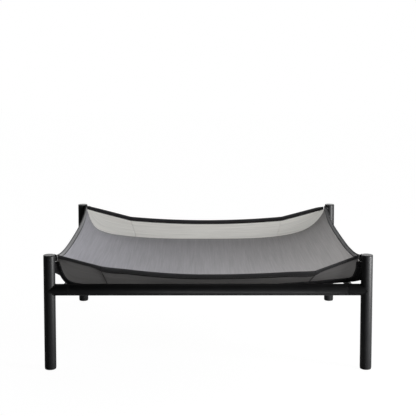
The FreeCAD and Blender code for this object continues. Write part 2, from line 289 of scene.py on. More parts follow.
def axes_along(direction):
    """Two directions square to each other and to the one given."""
    w = np.asarray(direction, float)
    w = w / np.linalg.norm(w)
    other = np.array([0.0, 0.0, 1.0]) if abs(w[2]) < 0.9 else np.array([1.0, 0.0, 0.0])
    u = np.cross(other, w)
    u = u / np.linalg.norm(u)
    return u, np.cross(w, u), w


def turned(profile, start, direction, sides):
    """A turned shape: each profile point (radius, distance) is carried round the line from start.

    The point at angle a is start + direction * distance + radius * (u cos a + v sin a)."""
    u, v, w = axes_along(direction)
    profile = np.asarray(profile, float)
    a = round_angles(sides)
    ring = np.cos(a)[:, None] * u + np.sin(a)[:, None] * v
    points = (np.asarray(start, float) + profile[:, None, 1:2] * w
              + profile[:, None, 0:1] * ring[None])
    return points.reshape(-1, 3), grid_quads(len(profile), sides, close_columns=True)


def arc(centre, radius, start, stop, count):
    """Points of an arc as (radius, distance) pairs; the angles are in degrees."""
    a = np.radians(np.linspace(start, stop, count))
    return [(centre[0] + radius * math.cos(t), centre[1] + radius * math.sin(t)) for t in a]


def tube_profile(radius, wall, long, edge):
    """A tube's outline: up the outside, over a rounded edge, down the inside and back."""
    inner = radius - wall
    outline = arc((radius - edge, edge), edge, -90, 0, 5)
    outline += arc((radius - edge, long - edge), edge, 0, 90, 5)
    outline += [(inner, long), (inner, 0.0), (radius - edge, 0.0)]
    return outline


def unit(vectors):
    return vectors / np.maximum(np.linalg.norm(vectors, axis=-1, keepdims=True), 1e-12)


def carried(outline, path, out, up):
    """An outline carried along a path: outline point (a, b) goes to path + out * a + up * b.

    out and up are given for each point of the path, so the shape can lean as it goes."""
    outline = np.asarray(outline, float)
    points = (path[:, None] + outline[None, :, 0:1] * out[:, None]
              + outline[None, :, 1:2] * up[:, None])
    rows, columns = points.shape[:2]
    quads = grid_quads(rows, columns, close_columns=True)
    return close_ends(points.reshape(-1, 3), quads, rows, columns)


def close_ends(points, quads, rows, columns):
    """Fills both ends of a carried outline with quads to a middle point."""
    first, last = np.arange(columns), (rows - 1) * columns + np.arange(columns)
    count = len(points)
    middles = np.array([points[first].mean(0), points[last].mean(0)])
    nxt = (np.arange(columns) + 1) % columns
    half = np.arange(0, columns - 1, 2)
    fan_a = np.stack([first[half], first[nxt[half]], first[(half + 2) % columns],
                      np.full(len(half), count)], axis=1)
    fan_b = np.stack([last[(half + 2) % columns], last[nxt[half]], last[half],
                      np.full(len(half), count + 1)], axis=1)
    return np.concatenate([points, middles]), np.concatenate([quads, fan_a, fan_b])


def surface_normals(grid):
    """Normals of a grid of points, from its differences along both directions."""
    along = np.gradient(grid, axis=0)
    across = np.gradient(grid, axis=1)
    return unit(np.cross(along, across))


def cloth_shell(name, grid, uv, thick, materials):
    """A sheet of cloth of one thickness round a grid: two faces and a rim all round.

    The first material is on the side that the grid's normals point to and on the rim, the second
    on the other side. The uv values are lengths along the cloth."""
    rows, columns = grid.shape[:2]
    normals = surface_normals(grid) * thick / 2
    count = rows * columns
    points = np.concatenate([(grid + normals).reshape(-1, 3), (grid - normals).reshape(-1, 3)])
    above = grid_quads(rows, columns)
    below = grid_quads(rows, columns)[:, ::-1] + count
    index = np.arange(count).reshape(rows, columns)
    ring = np.concatenate([index[0, :-1], index[:-1, -1], index[-1, :0:-1], index[:0:-1, 0]])
    nxt = np.roll(ring, -1)
    rim = np.stack([ring, nxt, nxt + count, ring + count], axis=1)
    quads = np.concatenate([above, below, rim])
    faces = np.concatenate([np.zeros(len(above)), np.ones(len(below)), np.zeros(len(rim))])
    both = np.concatenate([uv.reshape(-1, 2), uv.reshape(-1, 2)])
    return make_piece(name, points, quads, materials, both, faces)


def cloth_area(grid):
    """Area of a grid of points in square metres."""
    d1 = grid[1:, 1:] - grid[:-1, :-1]
    d2 = grid[1:, :-1] - grid[:-1, 1:]
    return float(np.linalg.norm(np.cross(d1, d2), axis=-1).sum() / 2)


def running_length(points):
    """Length along a line of points, from its start to each point."""
    steps = np.linalg.norm(np.diff(points, axis=0), axis=1)
    return np.concatenate([[0.0], np.cumsum(steps)])


def cloth_lengths(grid):
    """Lengths along a grid's two middle lines, and from them the uv of each of its points."""
    rows, columns = grid.shape[:2]
    along, down = running_length(grid[:, columns // 2]), running_length(grid[rows // 2])
    return along, down, np.stack(np.meshgrid(along, down, indexing="ij"), axis=-1)


# The drop of the back right corner: how far it moves and how wide the bell curve is.
DROP = np.array([-3.0, -2.0, -3.0]) * MM
DROP_REACH = 22 * MM
# The folds round a corner: how many radians of a sine to one round the corner, how soon they
# start and die away, and how high and deep they are.
FOLD_TURNS = 13
FOLD_START, FOLD_REACH = 30 * MM, 95 * MM
FOLD_HIGH, FOLD_DEEP = 1.3 * MM, 0.9 * MM


def settled(points):
    """Where the sewn cloth really lies: it keeps its shape but for two small movements.

    At the back right post its corner hangs lower and further in, by a bell curve of the distance
    from the corner. Round every corner it has fine folds that fan out, a sine of the angle
    round the corner that dies away with the distance from it."""
    g = sling()
    corner = np.array([g.edge_x, g.corner_y, BACK_TOP - g.edge_drop])
    near = np.exp(-(np.linalg.norm(points - corner, axis=1) / DROP_REACH) ** 2)
    moved = points + near[:, None] * DROP
    for sx in (-1, 1):
        for sy in (-1, 1):
            across, along = g.edge_x - points[:, 0] * sx, g.corner_y - points[:, 1] * sy
            far = np.hypot(across, along)
            turn = np.arctan2(along, across)
            fold = np.sin(turn * FOLD_TURNS + sx + 2 * sy) * np.exp(-far / FOLD_REACH)
            fold = fold * far / (far + FOLD_START)
            moved[:, 2] += fold * FOLD_HIGH
            moved[:, 1] += fold * FOLD_DEEP * sy
    return moved


# Sling surface -----------------------------------------------------------------------------------

def mix(a, b, t):
    return a + (b - a) * t


def smooth_step(t):
    """From 0 to 1 and level at both, over t from 0 to 1."""
    t = np.clip(t, 0, 1)
    return t * t * (3 - 2 * t)


def end_value(end, name):
    """One of the settings that both ends have, such as seam or kink_x."""
    return getattr(sling(), end + "_" + name)


# How an end seam rises from the middle to each side: two powers, and the share of the low one.
SEAM_SHAPE = {
    ("front", -1): (4.0, 30.0, 0.14),
    ("front", 1): (1.6, 60.0, 0.26),
    ("back", -1): (3.0, 22.0, 0.30),
    ("back", 1): (3.5, 12.0, 0.48),
}


def seam_rise(end, u):
    """How far up an end seam is at u: a low power of u plus a high one, on each side its own."""
    a = np.abs(u)
    sides = []
    for side in (-1, 1):
        low, high, part = SEAM_SHAPE[end, side]
        sides.append(part * a ** low + (1 - part) * a ** high)
    return np.where(u < 0, sides[0], sides[1])


def seam_slope(end, side):
    """The slope of that curve at the side edge."""
    low, high, part = SEAM_SHAPE[end, side]
    return part * low + (1 - part) * high


def rise(u, s):
    """How far up towards the side edge the base is: a plain power of u half way along, changing
    with the cube of s to the end seam's own curve."""
    seam = np.where(s < 0, seam_rise("front", u), seam_rise("back", u))
    return mix(np.abs(u) ** sling().middle_power, seam, np.abs(s) ** 3)


def side_edge(s):
    """x and z of a side edge at s from -1 to 1: a straight line between the post tops, less a
    fourth-power sag, bowed inwards by a parabola."""
    g = sling()
    straight = mix(FRONT_TOP, BACK_TOP, (s + 1) / 2) - g.edge_drop
    return g.edge_x - g.edge_bow * (1 - s * s), straight - g.edge_sag * (1 - s ** 4)


CORNER_POWER = 26       # how late the base reaches out to its corners


def base_surface(u, s):
    """The base panel: u runs from -1 to 1 across and s from -1 to 1 front to back."""
    g = sling()
    edge_x, edge_z = side_edge(s)
    a = np.abs(u)
    reach = g.seam_y + (g.corner_y - g.seam_y) * a ** CORNER_POWER
    middle_z = mix(g.front_seam, g.back_seam, (s + 1) / 2) - g.middle_sag * (1 - s * s)
    z = mix(middle_z, edge_z, rise(u, s))
    return np.stack(np.broadcast_arrays(u * edge_x, s * reach, z), axis=-1)


def hem_share(s, side):
    """The share of u that a side hem covers, from the slope of the base at its edge."""
    g = sling()
    edge_x, edge_z = side_edge(s)
    seam = np.where(s < 0, seam_slope("front", side), seam_slope("back", side))
    slope = mix(g.middle_power, seam, np.abs(s) ** 3)
    middle_z = mix(g.front_seam, g.back_seam, (s + 1) / 2) - g.middle_sag * (1 - s * s)
    return g.hem_width / np.hypot(edge_x, (edge_z - middle_z) * slope)


def hem_height(end, x):
    """Top edge of an end wall: a parabola between the kinks, then straight to the post.

    The two kinks of an end differ a little in height."""
    g = sling()
    kink_x, kink, low, slant = (end_value(end, n) for n in ("kink_x", "kink", "hem", "slant"))
    kink = kink - np.sign(x) * slant
    top = (FRONT_TOP if end == "front" else BACK_TOP) - g.edge_drop
    a = np.abs(x)
    inner = mix(low, kink, (a / kink_x) ** 2)
    outer = mix(kink, top, (a - kink_x) / (g.hem_end - kink_x))
    return np.where(a <= kink_x, inner, outer)


# Where the front hem starts to lean and over what width, as shares of the way to its kink; the
# same for where it narrows; and the widths of the hems, as shares of the plain one.
LEAN_START, LEAN_OVER = 1.02, 0.30
NARROW_START, NARROW_OVER = 0.94, 0.16
BACK_HEM, FRONT_HEM_WIDE, FRONT_HEM_NARROW = 1.12, 1.15, 0.70


def hem_lean(end, x):
    """How far an end hem leans back: nothing at the posts, a smooth step up inside the kinks."""
    if end == "back":
        return np.zeros_like(x)
    kink_x = end_value(end, "kink_x")
    inside = kink_x * LEAN_START - np.abs(x)
    return sling().front_roll * smooth_step(inside / (kink_x * LEAN_OVER))


def hem_wide(end, x):
    """Width of an end hem: full between the kinks, and drawn narrower towards the front posts."""
    g = sling()
    if end == "back":
        return np.full_like(x, g.hem_width * BACK_HEM)
    kink_x = end_value(end, "kink_x")
    narrow = smooth_step((np.abs(x) - kink_x * NARROW_START) / (kink_x * NARROW_OVER))
    return g.hem_width * mix(FRONT_HEM_WIDE, FRONT_HEM_NARROW, narrow)


def hem_frame(end, x):
    """Path of an end hem's lower edge, with the directions out of its face and up its width."""
    g = sling()
    side = side_of(end)
    lean = hem_lean(end, x)
    low_z = hem_height(end, x) - g.hem_width * np.cos(lean)
    path = np.stack([x, np.full_like(x, side * g.hem_y), low_z], axis=-1)
    up = np.stack([np.zeros_like(x), -side * np.sin(lean), np.cos(lean)], axis=-1)
    out = np.stack([np.zeros_like(x), side * np.cos(lean), np.sin(lean)], axis=-1)
    return path, out, up


WALL_TOP = 1.1          # how far inside its hem a wall's cloth ends, in hem widths
WALL_HOLLOW = 1.2 * MM


def wall_place(end, x, z):
    """How far from the middle of the bed an end wall is, at a width and a height."""
    g = sling()
    low = base_surface(np.clip(x / g.edge_x, -1, 1), np.full_like(x, side_of(end)))
    top_z = hem_height(end, x) - g.hem_width
    t = np.clip((z - low[..., 2]) / (top_z - low[..., 2]), 0, 1)
    return mix(np.abs(low[..., 1]), g.hem_y, t)


def wall_surface(end, x, u, v):
    """An end wall: v runs from 0 inside the hem to 1 at the seam, with a slight hollow between."""
    g = sling()
    side = side_of(end)
    path, _, up = hem_frame(end, x)
    top = path + up * (g.hem_width * WALL_TOP - hem_wide(end, x))[:, None]
    low = base_surface(u, np.full_like(u, side))
    hollow = np.sin(np.pi * v)[None, :, None] * np.array([0.0, -side * WALL_HOLLOW, 0.0])
    return top[:, None] + (low - top)[:, None] * v[None, :, None] + hollow


# Shader helpers ----------------------------------------------------------------------------------

class Value:
    """A number socket that can be used in sums."""

    def __init__(self, tree, socket):
        self.tree = tree
        self.socket = socket

    def combine(self, operation, first, second):
        node = self.tree.nodes.new("ShaderNodeMath")
        node.operation = operation
        for place, item in zip(node.inputs, (first, second)):
            if isinstance(item, Value):
                self.tree.links.new(item.socket, place)
            else:
                place.default_value = item
        return Value(self.tree, node.outputs[0])

    def __add__(self, other):
        return self.combine("ADD", self, other)

    def __radd__(self, other):
        return self.combine("ADD", other, self)

    def __sub__(self, other):
        return self.combine("SUBTRACT", self, other)

    def __rsub__(self, other):
        return self.combine("SUBTRACT", other, self)

    def __mul__(self, other):
        return self.combine("MULTIPLY", self, other)

    def __rmul__(self, other):
        return self.combine("MULTIPLY", other, self)

    def __pow__(self, other):
        return self.combine("POWER", self, other)

    def sine(self):
        return self.combine("SINE", self, 0.0)

    def size(self):
        return self.combine("ABSOLUTE", self, 0.0)

    def held(self, low, high):
        return self.combine("MINIMUM", self.combine("MAXIMUM", self, low), high)


class Finish:
    """A material being built: one principled shader, with nodes added to it."""

    def __init__(self, name, rough, **constants):
        self.material = bpy.data.materials.new(name)
        self.material.use_nodes = True
        self.tree = self.material.node_tree
        self.shader = self.tree.nodes["Principled BSDF"]
        self.shader.inputs["Roughness"].default_value = rough
        for socket, value in constants.items():
            self.shader.inputs[socket.replace("_", " ")].default_value = value

    def node(self, kind, settings=(), **sockets):
        """Adds any node: its settings first, then the values or links of its sockets."""
        node = self.tree.nodes.new(kind)
        for name, value in dict(settings).items():
            setattr(node, name, value)
        for name, item in sockets.items():
            place = node.inputs[name.replace("_", " ")]
            self.put(place, item)
        return node

    def put(self, place, item):
        if isinstance(item, Value):
            self.tree.links.new(item.socket, place)
        elif isinstance(item, bpy.types.NodeSocket):
            self.tree.links.new(item, place)
        else:
            place.default_value = item

    def value(self, socket):
        return Value(self.tree, socket)

    def object_point(self):
        return self.node("ShaderNodeTexCoord").outputs["Object"]

    def object_x(self):
        """How far a point is to the right."""
        parts = self.node("ShaderNodeSeparateXYZ", Vector=self.object_point())
        return self.value(parts.outputs["X"])

    def cloth_uv(self):
        """Lengths along the cloth, as two values."""
        uv = self.node("ShaderNodeUVMap", {"uv_map": "cloth"}).outputs["UV"]
        parts = self.node("ShaderNodeSeparateXYZ", Vector=uv)
        return self.value(parts.outputs["X"]), self.value(parts.outputs["Y"])

    def noise(self, vector, scale, detail=2.0, roughness=0.5):
        node = self.node("ShaderNodeTexNoise", Vector=vector, Scale=scale, Detail=detail,
                         Roughness=roughness)
        return self.value(node.outputs[0])

    def vector(self, x, y, z=0.0):
        return self.node("ShaderNodeCombineXYZ", X=x, Y=y, Z=z).outputs[0]

    def blend(self, amount, first, second):
        """A colour between two, by an amount that may vary."""
        node = self.node("ShaderNodeMix", {"data_type": "RGBA"})
        self.put(node.inputs["Factor"], amount)
        for place, item in ((node.inputs[6], first), (node.inputs[7], second)):
            self.put(place, (*item, 1.0) if isinstance(item, tuple) else item)
        return node.outputs[2]

    def bump(self, height, distance, strength=1.0):
        node = self.node("ShaderNodeBump", Height=height, Distance=distance, Strength=strength)
        self.put(self.shader.inputs["Normal"], node.outputs[0])

    def set(self, name, item):
        self.put(self.shader.inputs[name], item)

    def mixed_with(self, other, amount):
        """Mixes the shader with another one, whose share is the amount."""
        both = self.node("ShaderNodeMixShader")
        self.put(both.inputs[0], amount)
        self.put(both.inputs[1], self.shader.outputs[0])
        self.put(both.inputs[2], other.outputs[0])
        self.put(self.tree.nodes["Material Output"].inputs["Surface"], both.outputs[0])

    def white_to_camera(self, amount):
        """Adds a white glow that only the camera sees, so that what is lit stays as it was."""
        glow = self.node("ShaderNodeEmission", Strength=1.1)
        seen = self.value(self.node("ShaderNodeLightPath").outputs["Is Camera Ray"])
        self.mixed_with(glow, seen * amount)

    def let_through(self, tone, amount):
        """Lets some light from the far side through, as thin cloth does."""
        glow = self.node("ShaderNodeBsdfTranslucent", Color=(*tone, 1.0))
        self.mixed_with(glow, amount)


def scaled(tone, amount):
    return tuple(min(1.0, c * amount) for c in tone)


def powder_coat(name, tone, rough=0.45, gloss=0.22):
    """Fine-textured powder coat: a pebbled surface with slight clouds of tone and gloss."""
    f = Finish(name, rough, Specular_IOR_Level=gloss)
    p = f.object_point()
    pebbles = f.noise(p, 1500.0, 2.0, 0.55)
    clouds = f.noise(p, 14.0, 3.0, 0.6)
    f.set("Base Color", f.blend(clouds, scaled(tone, 0.82), scaled(tone, 1.2)))
    f.set("Roughness", rough - 0.06 + 0.12 * clouds + 0.05 * pebbles)
    f.bump(pebbles, 0.00012, 0.55)
    return f.material


def moulded(name, tone):
    """Matt moulded plastic with a faint spark-eroded grain."""
    f = Finish(name, 0.55)
    p = f.object_point()
    grain = f.noise(p, 2600.0, 1.0)
    f.set("Base Color", f.blend(f.noise(p, 40.0), scaled(tone, 0.85), scaled(tone, 1.2)))
    f.set("Roughness", 0.5 + 0.14 * grain)
    f.bump(grain, 0.00006, 0.4)
    return f.material


def plated(name, tone, rough, metallic):
    """Plated steel with fine turning marks and small changes of gloss."""
    f = Finish(name, rough, Metallic=metallic)
    p = f.object_point()
    marks = f.noise(p, 900.0, 3.0, 0.7)
    f.set("Base Color", f.blend(marks, scaled(tone, 0.8), scaled(tone, 1.25)))
    f.set("Roughness", rough - 0.08 + 0.16 * marks)
    f.bump(marks, 0.00003, 0.4)
    return f.material


# Distances between the ribs and between the yarns that cross them, in metres; and what the base's
# tone is multiplied by at its left and at its right. At the left flank, which faces the light from
# the right, this is painted light, a little bluish. At the right flank, which faces away from it,
# this is painted shade, browner and 10 to 16 percent darker than the set tone.
RIB_PITCH, YARN_PITCH = 0.0017, 0.0024
NO_PAINTED_LIGHT_SHADE = ((1.0, 1.0, 1.0), (1.0, 1.0, 1.0))
BASE_PAINTED_LIGHT_SHADE = ((1.0, 0.99, 1.06), (0.90, 0.87, 0.84))


def mesh_cloth(name, tone, ribs_along_y, contrast=0.24, rough=0.72, painted_light_shade=NO_PAINTED_LIGHT_SHADE):
    """Coated mesh cloth: a fine grid of yarns, ribbed one way, with long soft streaks.

    across is the length square to the ribs and along is the length down them. The last argument
    is what the tone is multiplied by at the left and at the right. It is painted light and shade
    across the cloth, or all ones for none."""
    f = Finish(name, rough, Specular_IOR_Level=0.35, Sheen_Weight=0.12, Sheen_Roughness=0.5)
    first, second = f.cloth_uv()
    across, along = (first, second) if ribs_along_y else (second, first)
    turn = 2 * math.pi
    # side goes from 0 at the left to 1 at the right; the painted light and shade change along it
    side = (f.object_x() * 1.3 + 0.5).held(0.0, 1.0)
    rib = (across * (turn / RIB_PITCH)).sine()
    cross_yarn = (along * (turn / YARN_PITCH)).sine()
    wide = f.noise(f.vector(across * 150.0, along * 4.0), 1.0, 3.0, 0.7)
    narrow = f.noise(f.vector(across * 600.0, along * 9.0, 3.7), 1.0, 2.0, 0.6)
    streak = wide * 0.55 + narrow * 0.45
    weave = rib * cross_yarn
    amount = (0.5 + (streak - 0.5) * 2.6 + weave * 0.16).held(0.0, 1.0)
    # the tone with painted light for the left and with painted shade for the right
    painted_lit_tone, painted_shaded_tone = (tuple(t * k for t, k in zip(tone, tint)) for tint in painted_light_shade)
    dark = f.blend(side, scaled(painted_lit_tone, 1 - contrast), scaled(painted_shaded_tone, 1 - contrast))
    light = f.blend(side, scaled(painted_lit_tone, 1 + contrast), scaled(painted_shaded_tone, 1 + contrast))
    f.set("Base Color", f.blend(amount, dark, light))
    f.set("Roughness", rough - 0.06 + 0.12 * streak)
    f.bump(rib * 0.35 + weave * 0.35 + streak * 0.9, 0.00022, 0.45)
    f.let_through((0.92, 0.91, 0.88), sling().see_through)
    return f.material


def woven_tape(name, tone, pitch=0.0012, rough=0.8):
    """Narrow woven tape: a close diagonal twill on the piece's own coordinates."""
    f = Finish(name, rough, Specular_IOR_Level=0.3, Sheen_Weight=0.15, Sheen_Roughness=0.4)
    p = f.object_point()
    parts = f.node("ShaderNodeSeparateXYZ", Vector=p)
    x, y, z = (f.value(parts.outputs[n]) for n in ("X", "Y", "Z"))
    turn = 2 * math.pi / pitch
    twill = ((x + y + z * 0.8) * turn).sine() * ((x + y - z * 1.2) * turn).sine()
    worn = f.noise(p, 220.0, 3.0, 0.6)
    f.set("Base Color", f.blend((worn * 0.8 + twill * 0.14 + 0.1).held(0.0, 1.0),
                                scaled(tone, 0.7), scaled(tone, 1.35)))
    f.set("Roughness", rough - 0.05 + 0.1 * worn)
    f.bump(twill * 0.5 + worn, 0.00018, 0.5)
    return f.material


def hem_cloth(name, tone, edge, both):
    """Folded cloth: a fine rib along its length, and darker where it is sewn and turned. These are
    dark stitch lines with painted shade along them, in the stitched grooves and under the hem's
    lower edge.

    edge is how light those lines are, as a share of the tone. They lie along both edges, or else
    only along the lower one. In that case a painted highlight makes the upper edge lighter, where
    light falls on the hem's top."""
    f = Finish(name, 0.74, Specular_IOR_Level=0.3, Sheen_Weight=0.12)
    along, across = f.cloth_uv()
    p = f.object_point()
    place = (across - 0.51).size() if both else 0.44 - across
    # sewn: dark stitch lines plus painted shade in the grooves beside them and under the lower edge
    sewn = ((place - 0.22) * 8.0).held(0.0, 1.0)
    streak = f.noise(f.vector(along * 60.0, across * 18.0), 1.0, 3.0, 0.6)
    fine = f.noise(p, 900.0, 2.0)
    cloth = f.blend(streak, scaled(tone, 0.78), scaled(tone, 1.2))
    # painted highlight: an end hem grows lighter towards its top, up to 2.3 times its tone, where
    # light falls on it
    if not both:
        cloth = f.blend((across * 1.3 - 0.3).held(0.0, 1.0), cloth, scaled(tone, 2.3))
    f.set("Base Color", f.blend(sewn * (0.75 + 0.25 * fine), cloth, scaled(tone, edge)))
    f.set("Roughness", 0.66 + 0.16 * fine)
    rib = (across * (2 * math.pi * 9)).sine()
    f.bump(rib * 0.4 + fine * 0.7 + streak, 0.0002, 0.45)
    return f.material


def thread_finish(name, tone):
    """Twisted sewing thread."""
    f = Finish(name, 0.6, Sheen_Weight=0.2)
    fibre = f.noise(f.object_point(), 2200.0, 1.0)
    f.set("Base Color", f.blend(fibre, scaled(tone, 0.6), scaled(tone, 1.4)))
    f.bump(fibre, 0.0001, 0.5)
    return f.material


MATERIALS = {}
CLOTH_FINISHES = ("base_mesh_inside", "wall_mesh_inside", "side_hem", "end_hem", "webbing",
                  "sewing_thread", "bar_tack")      # what settles as cloth does


def closed_piece(name, points, quads, finish, node=None):
    """A closed piece of one finish, in the place of a node where one is given."""
    piece = make_piece(name, points, quads, [MATERIALS[finish]], merge=True)
    if node:
        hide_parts(node)


def make_materials():
    """Every finish, made once and kept by name."""
    t, g = tubes(), sling()
    made = MATERIALS
    made["coat"] = powder_coat("powder_coat", tuple(t.coat))
    made["cap"] = powder_coat("cap_coat", tuple(t.cap_coat), 0.34, 0.5)
    made["glide"] = moulded("glide_plastic", tuple(t.glide))
    made["zinc"] = plated("zinc_plate", tuple(t.zinc), 0.38, 1.0)
    made["fastener"] = plated("black_fastener", tuple(t.fastener), 0.42, 0.0)
    made["eyelet"] = plated("eyelet_metal", tuple(t.eyelet), 0.34, 0.9)
    # The base's top face gets painted light at its left and painted shade at its right.
    made["base_inside"] = mesh_cloth("base_mesh_inside", tuple(g.base_inside), True,
                                     painted_light_shade=BASE_PAINTED_LIGHT_SHADE)
    made["base_outside"] = mesh_cloth("base_mesh_outside", tuple(g.outside), True)
    # The walls' inner faces carry painted light: the backdrop's light through the open mesh.
    made["wall_inside"] = mesh_cloth("wall_mesh_inside", tuple(g.wall_inside), False, 0.14)
    made["wall_outside"] = mesh_cloth("wall_mesh_outside", tuple(g.outside), False, 0.26)
    # 0.10 and 0.35 are how dark the stitch lines and their painted shade are, as shares of the tone
    made["side_hem"] = hem_cloth("side_hem", tuple(g.base_inside), 0.10, True)
    made["end_hem"] = hem_cloth("end_hem", scaled(tuple(g.hem_colour), 0.85), 0.35, False)
    made["seam_edge"] = woven_tape("seam_edge", scaled(tuple(g.outside), 0.35), 0.0018)
    made["tack"] = thread_finish("bar_tack", tuple(g.webbing))
    made["webbing"] = woven_tape("webbing", tuple(g.webbing), 0.0018)
    made["thread"] = thread_finish("sewing_thread", tuple(g.thread_colour))


# Frame pieces ------------------------------------------------------------------------------------

class DOGBED_OT_posts(Operator):
    """Posts, their flat welded caps and their foot glides"""
    bl_idname = "dogbed.posts"
    bl_label = "Posts"

    def execute(self, context):
        for corner in CORNERS:
            self.post(corner)
            self.cap(corner)
            self.glide(corner)
        return {"FINISHED"}

    def post(self, corner):
        t = tubes()
        axis = middle("post_" + corner)
        start = (axis[0], axis[1], GLIDE_TOP)
        outline = tube_profile(TUBE_R, TUBE_WALL, cap_seat(corner) - GLIDE_TOP, t.edge * 0.5)
        points, quads = turned(outline, start, (0, 0, 1), t.sides)
        closed_piece("post_tube_" + corner, points, quads, "coat", "post_" + corner)

    def cap(self, corner):
        """A disc whose outline is a flat face with a quarter-round edge and a tiny step below."""
        t = tubes()
        axis = middle("post_" + corner)
        thick = post_top(corner) - cap_seat(corner)
        edge = t.cap_edge
        outline = [(0.0, 0.0), (TUBE_R - 0.5 * MM, 0.0), (TUBE_R - 0.15 * MM, 0.25 * MM)]
        outline += [(TUBE_R, 0.5 * MM)]
        outline += arc((TUBE_R - edge, thick - edge), edge, 0, 90, 8)
        outline += [(TUBE_R * 0.6, thick), (TUBE_R * 0.3, thick), (0.0, thick)]
        start = (axis[0], axis[1], cap_seat(corner))
        points, quads = turned(outline, start, (0, 0, 1), t.sides)
        closed_piece("cap_" + corner, points, quads, "cap", "post_cap_" + corner)

    def glide(self, corner):
        """A shallow moulded foot with rounded edges, its stem hidden in the tube."""
        t = tubes()
        axis = middle("post_" + corner)
        stem_r = TUBE_R - 2.3 * MM
        stem_top = low_high("foot_glide_" + corner)[1][2]
        outline = [(0.0, 0.0), (GLIDE_R * 0.5, 0.0)]
        outline += arc((GLIDE_R - 1.2 * MM, 1.2 * MM), 1.2 * MM, -90, 0, 6)
        outline += [(GLIDE_R, GLIDE_TOP), (stem_r, GLIDE_TOP), (stem_r, stem_top)]
        outline += [(stem_r - 2 * MM, stem_top), (stem_r - 2 * MM, GLIDE_TOP), (0.0, GLIDE_TOP)]
        points, quads = turned(outline, (axis[0], axis[1], 0.0), (0, 0, 1), t.sides)
        closed_piece("glide_" + corner, points, quads, "glide",
                     "foot_glide_" + corner)


def coped_tube(start, direction, radius, wall, long, around_r, sides, edge):
    """A tube that starts against another one of radius around_r, crossing it at right angles.

    Its wall starts sqrt(around_r squared - (radius * offset) squared) from the other tube's axis.
    At angle a, where a is 0 on the level through both axes, the offset is sin a against a thicker
    level tube and cos a against an upright one. It ends square, with a rounded edge."""
    w = np.asarray(direction, float)
    a = round_angles(sides)
    level = np.cross(np.array([0.0, 0.0, 1.0]), w)
    up = np.array([0.0, 0.0, 1.0])
    meets_level = around_r > radius + SAME_POINT
    offset = np.sin(a) if meets_level else np.cos(a)
    cope = np.sqrt(np.maximum(around_r ** 2 - (radius * offset) ** 2, 0.0))
    ring = np.cos(a)[:, None] * level + np.sin(a)[:, None] * up
    rows = []
    for step in np.linspace(0, 1, 13):
        at = mix(cope, long - edge, step)
        rows.append(np.asarray(start) + at[:, None] * w + radius * ring)
    for across, down in arc((radius - edge, long - edge), edge, 0, 90, 5)[1:]:
        rows.append(np.asarray(start) + down * w + across * ring)
    inner = radius - wall
    rows.append(np.asarray(start) + long * w + inner * ring)
    rows.append(np.asarray(start) + (cope[:, None] + 0.1 * MM) * w + inner * ring)
    rows.append(rows[0])
    points = np.array(rows)
    return points.reshape(-1, 3), grid_quads(len(rows), sides, close_columns=True), rows[0]


def bead_round(line, radius, normal_out, sides=8):
    """A weld bead: a small ring of half-round section along a closed line of points."""
    ahead = unit(np.roll(line, -1, axis=0) - np.roll(line, 1, axis=0))
    out = unit(normal_out)
    other = unit(np.cross(ahead, out))
    a = round_angles(sides)
    ripple = 1 + 0.10 * np.sin(np.arange(len(line)) * 2 * np.pi / 3.0)
    section = np.cos(a)[None, :, None] * out[:, None] + np.sin(a)[None, :, None] * other[:, None]
    points = line[:, None] + section * (radius * ripple)[:, None, None]
    return points.reshape(-1, 3), grid_quads(len(line), sides, True, True)


